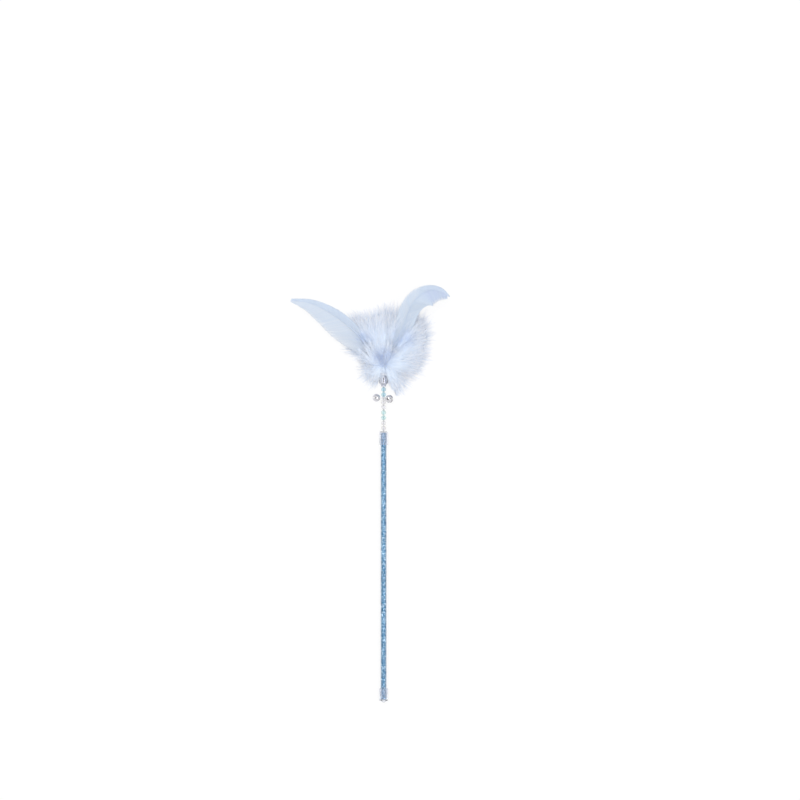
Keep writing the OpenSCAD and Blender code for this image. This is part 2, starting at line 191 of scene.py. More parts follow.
class MarabouSettings(bpy.types.PropertyGroup):
    barb_length: length("Barb length", "Length of a marabou barb", 12.5, 5, 25)
    barb_width: length("Barb width", "Width of a marabou barb with its fuzz", 0.5, 0.1, 2)
    density: bpy.props.FloatProperty(
        name="Barbs", description="Barbs on each square millimetre of a plume",
        default=0.6, min=0.1, max=4.0)
    heart: colour("Heart", "Marabou near its stem", "#E2EDFC")
    tip: colour("Tip", "Marabou at the ends of its barbs", "#FDFCFF")
    # A colour for painted shade beside the quills, and for deeper blue over the hub
    shaded_and_deep: colour("Deep tufts", "Marabou in the folds and round the quills", "#BED1F2")


class StageSettings(bpy.types.PropertyGroup):
    view_width: bpy.props.FloatProperty(
        name="View width", description="Width that the picture shows at the wand's axis",
        default=0.8, min=0.2, max=2.0, unit="LENGTH")
    key: bpy.props.FloatProperty(
        name="Key light", description="Power of the large lamp at the upper left",
        default=13.5, min=0.0, max=200.0, unit="POWER")
    ambient: bpy.props.FloatProperty(
        name="Ambient light", description="Strength of the even light from all round",
        default=0.69, min=0.0, max=2.0)
    floor: colour("Floor", "Paper that the wand lies on", "#FFFFFF")


class TeaserSettings(bpy.types.PropertyGroup):
    tube: bpy.props.PointerProperty(type=TubeSettings)
    strand: bpy.props.PointerProperty(type=StrandSettings)
    metal: bpy.props.PointerProperty(type=MetalSettings)
    feather: bpy.props.PointerProperty(type=FeatherSettings)
    marabou: bpy.props.PointerProperty(type=MarabouSettings)
    stage: bpy.props.PointerProperty(type=StageSettings)


# Nodes and meshes

def fill(node, *values, **named):
    """Sets or links a node's inputs, in order or by name with _ for a space.

    A node given as a value stands for its first output in use.
    """
    in_use = [i for i, socket in enumerate(node.inputs) if socket.enabled]
    by_name = [(key.replace("_", " "), value) for key, value in named.items()]
    for key, value in [*zip(in_use, values), *by_name]:
        if isinstance(value, bpy.types.Node):
            value = next(out for out in value.outputs if out.enabled)
        if isinstance(value, bpy.types.NodeSocket):
            node.id_data.links.new(value, node.inputs[key])
        else:
            node.inputs[key].default_value = value
    return node


def add_node(tree, kind, *values, stops=(), **named):
    """Adds a node with its settings and links.

    A kind may name its operation too. A name with a capital is an input's and any other is a
    setting's. Stops are a colour ramp's places and colours.
    """
    kind, *operation = kind.split()
    node = tree.nodes.new(kind)
    if operation:
        node.operation = operation[0]
    for key in [key for key in named if key.islower()]:
        setattr(node, key, named.pop(key))
    if stops:
        elements = node.color_ramp.elements
        while len(elements) > 1:
            elements.remove(elements[-1])
        elements[0].position, elements[0].color = stops[0]
        for place, value in stops[1:]:
            elements.new(place).color = value
    return fill(node, *values, **named)


def dress(node_name, material):
    """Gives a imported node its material."""
    mesh = frame["nodes"][node_name].data
    mesh.materials.clear()
    mesh.materials.append(material)


def mesh_object(name, vertices, faces=(), attributes=None, edges=()):
    """A linked object with its place in its mesh. Attributes are one value a vertex."""
    mesh = bpy.data.meshes.new(name)
    mesh.from_pydata([tuple(v) for v in vertices], list(edges), list(faces))
    for key, values in (attributes or {}).items():
        vector = hasattr(values[0], "__len__")
        layer = mesh.attributes.new(key, "FLOAT_VECTOR" if vector else "FLOAT", "POINT")
        flat = [c for v in values for c in v] if vector else list(values)
        layer.data.foreach_set("vector" if vector else "value", flat)
    mesh.update()
    obj = bpy.data.objects.new(name, mesh)
    bpy.context.scene.collection.objects.link(obj)
    return obj


def marked_object(name, spots, marks, faces=()):
    """A linked object from spots, each a place in millimetres and then its value for each mark."""
    places, *columns = zip(*spots)
    return mesh_object(name, [p * MM for p in places], faces, dict(zip(marks, columns)))


def new_tree(name, **defaults):
    """A geometry tree with these inputs and one for a material, what adds its nodes, and its inputs."""
    tree = bpy.data.node_groups.new(name, "GeometryNodeTree")
    tree.is_modifier = True
    ways = [("Geometry", "INPUT"), *[(label, "INPUT") for label in defaults], ("Material", "INPUT")]
    for label, way in [*ways, ("Geometry", "OUTPUT")]:
        # What has no default is named after its kind
        default = defaults.get(label)
        kind = "Int" if isinstance(default, int) else "Float" if default else label
        socket = tree.interface.new_socket(
            label.replace("_", " "), in_out=way, socket_type="NodeSocket" + kind)
        if default:
            socket.default_value = default
    return tree, partial(add_node, tree), tree.nodes.new("NodeGroupInput").outputs


def end_tree(tree, given, geometry):
    """Gives what a tree made its material and sends it out."""
    painted = add_node(tree, "GeometryNodeSetMaterial", geometry, Material=given["Material"])
    add_node(tree, "NodeGroupOutput", painted)
    return tree


def grow(obj, tree, **values):
    """Runs a geometry tree on an object and keeps the result as its plain mesh."""
    modifier = obj.modifiers.new(tree.name, "NODES")
    modifier.node_group = tree
    sockets = {s.name: s.identifier for s in tree.interface.items_tree if s.in_out == "INPUT"}
    for label, value in values.items():
        modifier[sockets[label.replace("_", " ")]] = value
    bpy.context.view_layer.update()
    graph = bpy.context.evaluated_depsgraph_get()
    mesh = bpy.data.meshes.new_from_object(obj.evaluated_get(graph))
    if not mesh.polygons:
        raise RuntimeError(f"{tree.name} made nothing on {obj.name}")
    obj.modifiers.clear()
    seed_mesh = obj.data
    obj.data = mesh
    bpy.data.meshes.remove(seed_mesh)
    mesh.name = obj.name


def finish_piece(obj, body, slot, *nodes):
    """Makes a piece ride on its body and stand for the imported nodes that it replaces."""
    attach(obj, body)
    if nodes:
        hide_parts(*nodes)


def tube_along(points, radii, sides):
    """Vertices and faces of a closed round tube along points, with one radius a point."""
    vertices, faces = [], []
    normal = None
    for i, p in enumerate(points):
        ahead = (points[min(i + 1, len(points) - 1)] - points[max(i - 1, 0)]).normalized()
        if normal is None:
            normal = ahead.orthogonal().normalized()
        normal = (normal - ahead * normal.dot(ahead)).normalized()
        across = ahead.cross(normal)
        for k in range(sides):
            turn = 2 * math.pi * k / sides
            vertices.append(p + (normal * math.cos(turn) + across * math.sin(turn)) * radii[i])
    for i in range(len(points) - 1):
        for k in range(sides):
            a, b = i * sides + k, i * sides + (k + 1) % sides
            faces.append((a, b, b + sides, a + sides))
    faces.append(tuple(reversed(range(sides))))
    last = (len(points) - 1) * sides
    faces.append(tuple(range(last, last + sides)))
    return vertices, faces


def round_object(name, parts, material):
    """A smooth object from closed parts, each its vertices and faces."""
    vertices, faces = [], []
    for more, more_faces in parts:
        faces += [tuple(v + len(vertices) for v in face) for face in more_faces]
        vertices += more
    obj = mesh_object(name, vertices, faces)
    for polygon in obj.data.polygons:
        polygon.use_smooth = True
    obj.data.materials.append(material)
    return obj


def curve_at(points, t):
    """A smooth curve through rows of numbers. t runs from 0 to the last row's number."""
    n = len(points)
    i = min(int(t), n - 2)
    f = t - i
    rows = [points[max(i - 1, 0)], points[i], points[i + 1], points[min(i + 2, n - 1)]]
    return [
        0.5 * (2 * b + (c - a) * f + (2 * a - 5 * b + 4 * c - d) * f * f
               + (3 * b - 3 * c + d - a) * f ** 3)
        for a, b, c, d in zip(*rows)
    ]


# Materials

def new_material(name, **constants):
    """A material, what adds its nodes, and its shader with constants on its own sockets."""
    material = bpy.data.materials.new(name)
    material.use_nodes = True
    tree = material.node_tree
    return material, partial(add_node, tree), fill(tree.nodes["Principled BSDF"], **constants)


def mottled(name, stops, scale, detail=2.0, **constants):
    """A material whose colour changes gently from place to place."""
    material, add, shader = new_material(name, **constants)
    place = add(COORDINATES).outputs["Object"]
    patches = add(NOISE, place, Scale=scale, Detail=detail)
    fill(shader, Base_Color=add(RAMP, patches, stops=stops))
    return material


def acrylic(settings):
    """Extruded clear acrylic: shows as a pale band on each side of the core."""
    # Acrylic's own 1.49 would spread the core over the whole tube, and the photo shows the wall beside it
    material, add, shader = new_material(
        "extruded_clear_acrylic", Base_Color=settings.plastic, Roughness=0.04, IOR=1.18,
        Transmission_Weight=1.0)
    place = add(COORDINATES).outputs["Object"]
    # Draw lines run along the tube, about 0.6 mm apart
    lines = add("ShaderNodeMapping", place, Scale=(1600.0, 40.0, 1600.0))
    drawn = add(NOISE, lines, Scale=1.0, Detail=2.0)
    fill(shader, Normal=add(BUMP, Height=drawn, Strength=0.06, Distance=0.0001))
    return material


def moulded_cap(settings):
    """Soft moulded vinyl: clear like the tube but a little cloudy, so the caps read as caps."""
    # The IOR is as low as the tube's, so that the core keeps its width inside the cap
    material, add, shader = new_material(
        "moulded_clear_vinyl", Base_Color=settings.cap, IOR=1.2, Transmission_Weight=0.9)
    place = add(COORDINATES).outputs["Object"]
    # Flow marks of the moulding, about 3 mm across
    flow = add(NOISE, place, Scale=330.0, Detail=3.0)
    fill(shader, Roughness=add(RANGE, flow, 0.3, 0.7, 0.1, 0.25))
    fill(shader, Normal=add(BUMP, Height=flow, Strength=0.15, Distance=0.0002))
    return material


def glitter(settings):
    """Metallised flakes: each has its own brightness, from painted shade to painted glint at random, so the
    core sparkles like a mosaic.
    """
    material, add, shader = new_material("metallised_polyester_flakes", Metallic=0.75, Roughness=0.28)
    shade = add(MARK, attribute_name="shade").outputs["Fac"]
    place = add(COORDINATES).outputs["Object"]
    # Neighbouring flakes lie alike over some 2 mm, drawn coarser than real so that the sparkle shows; these
    # patches are painted glint and painted shade
    alike = add(NOISE, place, Scale=430.0, Detail=1.0)
    glint_patch = add(RANGE, alike, 0.38, 0.62, -0.35, 0.35)
    tone = add(PLUS, shade, glint_patch)
    middle = between(settings.flake_shaded, settings.flake_glint, 0.35)
    stops = [(0.15, settings.flake_shaded), (0.55, middle), (0.95, settings.flake_glint)]
    fill(shader, Base_Color=add(RAMP, tone, stops=stops))
    return material


def foil(settings):
    """Blue foil film: shows between the flakes as a darker, even blue."""
    material, add, shader = new_material("blue_foil_film", Metallic=0.5, Roughness=0.4)
    place = add(COORDINATES).outputs["Object"]
    # Fine flakes under the large ones, 0.5 mm across
    cells = add("ShaderNodeTexVoronoi", place, Scale=2000.0).outputs["Color"]
    stops = [(0.2, toned(settings.film, 0.7)), (0.8, settings.film)]
    fill(shader, Base_Color=add(RAMP, cells, stops=stops))
    return material


def bead_acrylic(name, tint):
    """Moulded acrylic with a rainbow coat: clear facets, with a change of tone every few millimetres."""
    return mottled(
        name, [(0.35, tint), (0.65, toned(tint, 1.15))], 280.0, 1.0,
        Roughness=0.08, IOR=1.49, Transmission_Weight=0.75, Thin_Film_Thickness=320.0)


def nylon(settings):
    """Drawn nylon monofilament: milky and slightly shiny, uneven over about 1 mm."""
    return mottled(
        "nylon_monofilament", [(0.3, toned(settings.line, 0.9)), (0.7, settings.line)], 900.0,
        Roughness=0.3, IOR=1.53, Transmission_Weight=0.15)


def glue_with_painted_shade(settings):
    """Set brown glue, painted dark as painted shade behind the ferrule's slots, soft edged and a little
    shiny.
    """
    return mottled(
        "hot_melt_glue_with_painted_shade", [(0.3, toned(settings.glue, 0.85)), (0.7, settings.glue)], 500.0,
        Roughness=0.35, Subsurface_Weight=0.3, Subsurface_Scale=0.001)


def quill_keratin(settings):
    """Dyed quill: harder and shinier than the vane, and a shade deeper in patches of 2.5 mm."""
    return mottled("dyed_quill", [(0.3, settings.vane_shaded_and_deep), (0.7, settings.vane)], 400.0, Roughness=0.4)


def plated(name, tint, roughness, hollow=None):
    """Nickel plate on pressed steel: bright, with faint press marks. Inside a hollow it is painted
    near-black, as painted shade.
    """
    material, add, shader = new_material(name, Metallic=1.0)
    place = add(COORDINATES).outputs["Object"]
    # Press marks 1 mm across and fine scratches 0.1 mm across
    marks = add(NOISE, place, Scale=1000.0, Detail=4.0)
    fill(shader, Roughness=add(RANGE, marks, 0.3, 0.7, roughness * 0.7, roughness * 1.4))
    tone = add(RAMP, marks, stops=[(0.3, toned(tint, 0.92)), (0.6, tint)])
    if hollow:
        middle, radius = hollow
        out = add(VECTOR, place, middle, operation="DISTANCE")
        shell = add(MATH, out, radius, operation="GREATER_THAN")
        # Inside the hollow the plate is painted near-black as painted shade
        tone = add(MIX, shell, hex_colour("#2B2A2C"), tone, data_type="RGBA")
    fill(shader, Base_Color=tone)
    fill(shader, Normal=add(BUMP, Height=marks, Strength=0.08, Distance=0.0001))
    return material


# Painted shade beside the two quills, and deeper blue over the hub, in millimetres: a middle, and the reach
# along X, Y and Z
SHADED_AND_DEEP_SPOTS = [((20, 356, 12), (16, 17, 30)), ((-24, 356, 10), (17, 11, 30)), ((1, 336, 8), (17, 16, 30))]


def marabou_down(settings):
    """Dyed marabou down: deeper blue at the rachis, nearly white at the tips, and quite dull, with painted
    shade beside the quills and in the grooves between barbs, and deeper blue over the hub.
    """
    material, add, shader = new_material(
        "dyed_marabou_down", Roughness=0.85, Sheen_Weight=0.25, Specular_IOR_Level=0.2)
    along = add(MARK, attribute_name="tip").outputs["Fac"]
    middle = between(settings.heart, settings.tip, 0.35)
    dyed = add(RAMP, along, stops=[(0.0, settings.heart), (0.55, middle), (1.0, settings.tip)])
    place = add(COORDINATES).outputs["Object"]
    shaded_and_deep = 0.0
    for spot_middle, reach in SHADED_AND_DEEP_SPOTS:
        shift = add(VECTOR, place, [c * MM for c in spot_middle], operation="SUBTRACT")
        size = add(VECTOR, shift, [c * MM for c in reach], operation="DIVIDE")
        far = add(VECTOR, size, operation="LENGTH")
        near = add(RANGE, far, 0.15, 1.0, 1.0, 0.0, interpolation_type="SMOOTHSTEP")
        shaded_and_deep = add(LARGER, shaded_and_deep, near)
    # The painted shade and the deeper blue are stronger in some tufts than in others, about 8 mm across
    tufts = add(NOISE, place, Scale=125.0, Detail=2.0)
    uneven = add(RANGE, tufts, 0.35, 0.65, 0.3, 0.7)
    amount = add(TIMES, shaded_and_deep, uneven)
    tone = add(MIX, amount, dyed, settings.shaded_and_deep, data_type="RGBA")
    # Barbs combed outwards, drawn 0.8 mm apart so that they show, with painted shade in the grooves between
    # them
    comb = add(MARK, attribute_name="comb").outputs["Vector"]
    streak = add(NOISE, comb, Scale=1.0, Detail=2.0)
    gap = add(RANGE, streak, 0.35, 0.6, 0.94, 1.0)
    fill(shader, Base_Color=add(SCALE, tone, gap))
    fill(shader, Normal=add(BUMP, Height=streak, Strength=0.35, Distance=0.0006))
    return material


def goose_vane(settings):
    """Dyed goose vane: silky, with fine barb lines, painted shade on its leading edge and painted light on
    its paler trailing one.
    """
    material, add, shader = new_material("dyed_goose_vane", Roughness=0.6, Sheen_Weight=0.3)
    tone, shade, pale, tip = [
        add(MARK, attribute_name=name).outputs["Fac"] for name in ("tone", "shade", "pale", "tip")]
    out = add(POWER, tip, 3.0)
    edge = add(TIMES_PLUS, out, pale, tone)
    # Neighbouring barbs differ a little, which draws the lines of the vane
    line = add(RANGE, shade, 0.0, 1.0, -0.12, 0.12)
    dyed = add(PLUS, edge, line)
    stops = [(0.0, settings.vane_shaded_and_deep), (0.5, settings.vane), (1.0, settings.vane_lit)]
    fill(shader, Base_Color=add(RAMP, dyed, stops=stops))
    return material


# Geometry trees

ONES = Vector((1.0, 1.0, 1.0))


def flake_tree():
    """Puts flat six-sided flakes on points, each turned about the film and a little tilted."""
    tree, add, given = new_tree(
        "glitter_flakes", Flake_width=0.00075, Flake_thickness=0.00006, Tilt=0.3, Seed=3)
    radius = add(TIMES, given["Flake width"], 0.5)
    flake = add(
        "GeometryNodeMeshCylinder", Vertices=6, Side_Segments=1, Radius=radius,
        Depth=given["Flake thickness"])
    least, most = [add(SCALE, corner, given["Tilt"]) for corner in (-ONES, ONES)]
    wobble = add(RANDOM, least, most, Seed=given["Seed"], data_type="FLOAT_VECTOR")
    out = add(READ, "out", data_type="FLOAT_VECTOR")
    facing = add(VECTOR_PLUS, out, wobble)
    turn = add(RANDOM, -ONES, ONES, Seed=given["Seed"], data_type="FLOAT_VECTOR")
    axes = add(AXES, facing, turn, primary_axis="Z", secondary_axis="X")
    shade = add(RANDOM, Seed=given["Seed"])
    named = add(STORE, given["Geometry"], Name="shade", Value=shade)
    placed = add(INSTANCES, named, Instance=flake, Rotation=axes)
    return end_tree(tree, given, add(REALIZE, placed))


def vane_tree():
    """Lays one flat barb on each point along its aim, curved towards the feather's tip."""
    tree, add, given = new_tree(
        "vane_barbs", Barb_width=0.00095, Barb_thickness=0.00012, Sweep=0.08, Droop=0.06,
        Overlap_tilt=0.12, Seed=5)
    size = add(COMBINE, 1.0, given["Barb width"], given["Barb thickness"])
    strip = add("GeometryNodeMeshCube", size, 9, 2, 2)
    x, y, z = add(SPLIT, add(PLACE)).outputs
    along = add(PLUS, x, 0.5)
    taper = add(RANGE, add(POWER, along, 3.0), 0.0, 1.0, 1.0, 0.22)
    width = add(TIMES, y, taper)
    # The strip is marked before it moves, because a field is worked out where it is used
    marked = add(STORE, strip, Name="tip", Value=along)
    barb = add(MOVE, marked, Position=add(COMBINE, along, width, z))
    aim, up, tipward = [add(READ, name, data_type="FLOAT_VECTOR") for name in ("aim", "up", "tipward")]
    reach, tip = [add(READ, name) for name in ("reach", "tip")]
    leaning = add(VECTOR_PLUS, up, add(SCALE, tipward, given["Overlap tilt"]))
    axes = add(AXES, aim, leaning, primary_axis="X", secondary_axis="Z")
    shade = add(RANDOM, Seed=given["Seed"])
    named = add(STORE, given["Geometry"], Name="shade", Value=shade)
    long = add(COMBINE, reach, 1.0, 1.0)
    placed = add(INSTANCES, named, Instance=barb, Rotation=axes, Scale=long)
    # A barb bows most at its middle
    arch = add(MATH, add(TIMES, tip, tip), tip, operation="SUBTRACT")
    far = add(TIMES, arch, reach)
    back = add(SCALE, tipward, add(TIMES, far, given["Sweep"]))
    down = add(SCALE, up, add(TIMES, far, given["Droop"]))
    bend = add(VECTOR, back, down, operation="SUBTRACT")
    bent = add(MOVE, add(REALIZE, placed), Offset=bend)
    return end_tree(tree, given, add(SHADING, bent))


def barb_nodes(add, given):
    """One flat barb of length 1 along Z, tapered and bent towards X, marked from root to tip."""
    barb = add("GeometryNodeMeshCylinder", Vertices=3, Side_Segments=5, Radius=1.0, Depth=1.0)
    x, y, z = add(SPLIT, add(PLACE)).outputs
    along = add(PLUS, z, 0.5)
    marked = add(STORE, barb, Name="tip", Value=along)
    ratio = add(MATH, given["Barb width"], given["Barb length"], operation="DIVIDE")
    taper = add(RANGE, along, 0.0, 1.0, 0.5, 0.12)
    thick = add(TIMES, ratio, taper)
    hook = add(TIMES, add(POWER, along, 2.0), given["Bend"])
    across = add(TIMES_PLUS, x, add(TIMES, thick, 0.2), hook)
    width = add(TIMES, y, thick)
    return add(MOVE, marked, Position=add(COMBINE, across, width, along))


def settle_nodes(add, given, barbs):
    """Waves the barbs, neighbours together, and keeps them off the floor, ferrule, beads and bells."""
    place = add(PLACE)
    strength = add(POWER, add(READ, "tip"), 1.5)
    offsets = []
    # Waves 15 mm long make tufts, and waves 2.5 mm long make frizz
    for scale, amount in ((65.0, given["Wave"]), (400.0, given["Frizz"])):
        wave = add(NOISE, place, Scale=scale, Detail=1.0).outputs["Color"]
        centred = add(VECTOR, wave, ONES / 2, operation="SUBTRACT")
        offsets.append(add(SCALE, centred, add(TIMES, strength, amount)))
    waved = add(MOVE, barbs, Offset=add(VECTOR_PLUS, *offsets))
    x, y, z = add(SPLIT, place).outputs
    # A barb that comes near the floor levels out above it and keeps its thickness
    level = add(MATH, z, add(PLUS, given["Floor"], 0.0012), 0.0035, operation="SMOOTH_MAX")
    low_z = add(TIMES_PLUS, z, 0.04, level)
    low_y = add(LARGER, y, (MOUTH_Y - 20) * MM)
    off_axis = add(COMBINE, x, 0.0, low_z)
    away = add(VECTOR, off_axis, operation="LENGTH")
    # Each range is two places along the wand and the clearance at each, in millimetres
    at_beads, at_bells = [
        add(RANGE, low_y, *[c * MM for c in clearance]) for clearance in (
            (FERRULE_Y - 0.5, FERRULE_Y + 3, 6.6, 4.7), (BELLS_Y + 2, BELLS_Y + 6, BELLS_R + 1.2, 4.7))]
    at_mouth = add(RANGE, low_y, MOUTH_Y * MM, (MOUTH_Y + 1.5) * MM, 1.0, 0.0)
    clear = add(TIMES, add(LARGER, at_beads, at_bells), at_mouth)
    # Never divides by nothing on the axis itself
    safe = add(LARGER, away, 0.00001)
    push = add(MATH, add(LARGER, away, clear), safe, operation="DIVIDE")
    x, _, z = add(SPLIT, add(SCALE, off_axis, push)).outputs
    final_z = add(LARGER, z, given["Floor"])
    return add(MOVE, waved, Position=add(COMBINE, x, low_y, final_z))


BARB_INPUTS = dict(
    Barb_length=0.012, Barb_width=0.0007, Bend=0.12, Wave=0.008, Frizz=0.0016, Floor=-0.0043, Seed=1)


def plant_nodes(add, given, points, facing, turn, chance):
    """Puts a barb on each point, as long as its chance and its place give it, and settles it."""
    axes = add(AXES, facing, turn, primary_axis="Z", secondary_axis="X")
    share = add(TIMES, chance, add(READ, "grown"))
    long = add(TIMES, share, given["Barb length"])
    placed = add(INSTANCES, points, Instance=barb_nodes(add, given), Rotation=axes, Scale=long)
    settled = settle_nodes(add, given, add(REALIZE, placed))
    # A flat barb keeps one tone across its width
    return add(SHADING, settled, Shade_Smooth=False)


def down_tree():
    """Grows barbs from the skin of a soft mound, each along the aim that the skin gives it."""
    tree, add, given = new_tree("down_barbs", Density=1.0e6, Jitter=0.45, **BARB_INPUTS)
    density = add(TIMES, add(READ, "skin"), given["Density"])
    points = add(
        "GeometryNodeDistributePointsOnFaces", given["Geometry"], Density=density, Seed=given["Seed"])
    other = add(PLUS, given["Seed"], 17.0)
    sway = add(RANDOM, (-1.0, -1.0, -0.6), (1.0, 1.0, 0.6), Seed=given["Seed"], data_type="FLOAT_VECTOR")
    aim = add(READ, "aim", data_type="FLOAT_VECTOR")
    facing = add(VECTOR_PLUS, aim, add(SCALE, sway, given["Jitter"]))
    turn = add(RANDOM, (-0.6, -0.6, 0.6), (0.6, 0.6, 1.4), Seed=other, data_type="FLOAT_VECTOR")
    # Most barbs are much alike, and a few stray far out
    rare = add(POWER, add(RANDOM, Seed=other), 3.0)
    chance = add(TIMES_PLUS, rare, 0.8, 0.6)
    barbs = plant_nodes(add, given, points, facing, turn, chance)
    joined = add("GeometryNodeJoinGeometry", add(SHADING, given["Geometry"]))
    fill(joined, barbs)
    return end_tree(tree, given, joined)


def tuft_tree():
    """Grows barbs all round each stem of a tuft."""
    tree, add, given = new_tree(
        "tuft_barbs", Barb_pitch=0.0012, Barbs_in_a_ring=5, Least_spread=0.35, Most_spread=1.0,
        Flatness=0.7, **BARB_INPUTS)
    curve = add("GeometryNodeMeshToCurve", given["Geometry"])
    even = add("GeometryNodeResampleCurve", curve, Length=given["Barb pitch"], mode="LENGTH")
    points = add("GeometryNodeCurveToPoints", even, mode="EVALUATED")
    ahead = add(STORE, points, Name="ahead", Value=points.outputs["Tangent"], data_type="FLOAT_VECTOR")
    many = add("GeometryNodeDuplicateElements", ahead, Amount=given["Barbs in a ring"], domain="POINT")
    tangent = add(READ, "ahead", data_type="FLOAT_VECTOR")
    other = add(PLUS, given["Seed"], 17.0)
    turn = add(RANDOM, 0.0, 2 * math.pi, Seed=given["Seed"])
    spread = add(RANDOM, given["Least spread"], given["Most spread"], Seed=other)
    level = add(VECTOR, tangent, (0.0, 0.0, 1.0), operation="CROSS_PRODUCT")
    across = add(VECTOR, level, operation="NORMALIZE")
    above = add(VECTOR, across, tangent, operation="CROSS_PRODUCT")
    # Round the stem by the turn, flattened, and then out from the stem by the spread
    cos_turn, sin_turn, cos_spread, sin_spread = [
        add(MATH, angle, operation=way) for angle in (turn, spread) for way in ("COSINE", "SINE")]
    flat_turn = add(TIMES, sin_turn, given["Flatness"])
    radial = add(VECTOR_PLUS, add(SCALE, across, cos_turn), add(SCALE, above, flat_turn))
    aim = add(VECTOR_PLUS, add(SCALE, radial, sin_spread), add(SCALE, tangent, cos_spread))
    jitter = add(RANDOM, (-0.7, -0.7, -0.7), (0.7, 0.7, 0.7), Seed=other, data_type="FLOAT_VECTOR")
    bend_to = add(VECTOR_PLUS, tangent, jitter)
    chance = add(RANDOM, 0.5, 1.15, Seed=given["Seed"])
    return end_tree(tree, given, plant_nodes(add, given, many, aim, bend_to, chance))


# Stage, tube, strand and metal

def seen_share(add, mirrored):
    """1 for what the camera sees straight or through clear plastic, and less for a mirrored view."""
    path = add("ShaderNodeLightPath").outputs
    dim = add(TIMES, path["Is Glossy Ray"], mirrored)
    seen = add(LARGER, path["Is Camera Ray"], dim)
    return add(LARGER, seen, path["Is Transmission Ray"])


class TEASER_OT_stage(bpy.types.Operator):
    """Adds the floor, the lamps, the even light and the camera straight above"""
    bl_idname = "teaser.stage"
    bl_label = "Add stage"

    def execute(self, context):
        scene = context.scene
        stage = scene.teaser.stage
        corners = [(x, y, FLOOR_Z * MM - 0.0001) for x, y in ((-6, -6), (6, -6), (6, 6), (-6, 6))]
        floor = mesh_object("floor", corners, [(0, 1, 2, 3)])
        material, add, shader = new_material(
            "white_paper", Base_Color=toned(stage.floor, 0.82), Roughness=0.9, Specular_IOR_Level=0.0)
        # Strongly lit paper also throws light back on what lies on it
        share = add(RANGE, seen_share(add, 1.0), 0.0, 1.0, 0.4, 0.8)
        glow = add("ShaderNodeEmission", stage.floor, 1.06)
        lit = add("ShaderNodeMixShader", share, shader, glow)
        fill(material.node_tree.nodes["Material Output"], lit)
        floor.data.materials.append(material)

        scene.world = bpy.data.worlds.new("even_light")
        scene.world.use_nodes = True
        scene.world.node_tree.nodes.clear()
        add = partial(add_node, scene.world.node_tree)
        # Metal mirrors a dimmer light than the white that the camera sees
        strength = add(RANGE, seen_share(add, 0.4), 0.0, 1.0, stage.ambient, 1.0)
        light = add("ShaderNodeBackground", (1.0, 1.0, 1.0, 1.0), strength)
        output = add("ShaderNodeOutputWorld", light)
        if not output.inputs[0].is_linked:
            raise RuntimeError("the world has no light")

        for name, place, size, power in (
                ("key_lamp", (-0.5, 0.85, 2.0), 1.1, stage.key),
                ("fill_lamp", (0.8, -0.1, 1.9), 1.2, stage.key * 0.6)):
            lamp = bpy.data.lights.new(name, "AREA")
            lamp.size = size
            lamp.energy = power
            obj = bpy.data.objects.new(name, lamp)
            obj.location = place
            aim = Vector((0.0, 0.3, 0.0)) - Vector(place)
            obj.rotation_euler = aim.to_track_quat("-Z", "Y").to_euler()
            scene.collection.objects.link(obj)

        camera = bpy.data.cameras.new("camera")
        camera.lens = 100.0
        camera.sensor_width = 36.0
        camera.clip_start = 0.1
        camera.clip_end = 20.0
        eye = bpy.data.objects.new("camera", camera)
        eye.location = (0.0164, 0.29475, stage.view_width * camera.lens / camera.sensor_width)
        scene.collection.objects.link(eye)
        scene.camera = eye
        scene.view_settings.view_transform = "Standard"
        return {"FINISHED"}


class TEASER_OT_tube(bpy.types.Operator):
    """Finishes the tube and its caps, and lays glitter flakes on the film"""
    bl_idname = "teaser.tube"
    bl_label = "Finish tube"

    def execute(self, context):
        tube = context.scene.teaser.tube
        cap = moulded_cap(tube)
        dress("wand_tube", acrylic(tube))
        dress("butt_cap", cap)
        dress("top_cap", cap)
        dress("glitter_film", foil(tube))
        low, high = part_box("glitter_film")
        # Flakes lie just inside the film's skin and keep clear of its two ends
        radius = high.x - 0.00004
        clear = 0.0004
        chance = random.Random(11)
        rings = int((high.y - low.y) / tube.flake_pitch)
        around = int(2 * math.pi * radius / tube.flake_pitch)
        places, outs = [], []
        for i in range(rings):
            for k in range(around):
                turn = 2 * math.pi * (k + 0.5 * (i % 2) + chance.uniform(-0.3, 0.3)) / around
                out = Vector((math.cos(turn), 0, math.sin(turn)))
                y = low.y + clear + (high.y - low.y - 2 * clear) * (i + chance.uniform(0.1, 0.9)) / rings
                places.append(out * radius + Vector((0, y, 0)))
                outs.append(out)
        flakes = mesh_object("glitter_flakes", places, attributes={"out": outs})
        grow(flakes, flake_tree(), Flake_width=tube.flake_width, Material=glitter(tube))
        finish_piece(flakes, "wand", "glitter")
        return {"FINISHED"}


# A bend is a hair thinner than the links that it runs into
BEND_SHARE = 0.985
KNOT_STEPS = 48
STEM_STEPS = 6


def knot_points(middle_y, width):
    """An overhand knot's path round the wand's axis, in millimetres."""
    points = []
    for i in range(KNOT_STEPS + 1):
        t = 2 * math.pi * i / KNOT_STEPS
        points.append(Vector((
            (math.sin(t) + 2 * math.sin(2 * t)) * width / 7.2,
            middle_y - math.sin(3 * t) * width / 5,
            (math.cos(t) - 2 * math.cos(2 * t)) * width / 7.2,
        )) * MM)
    return points


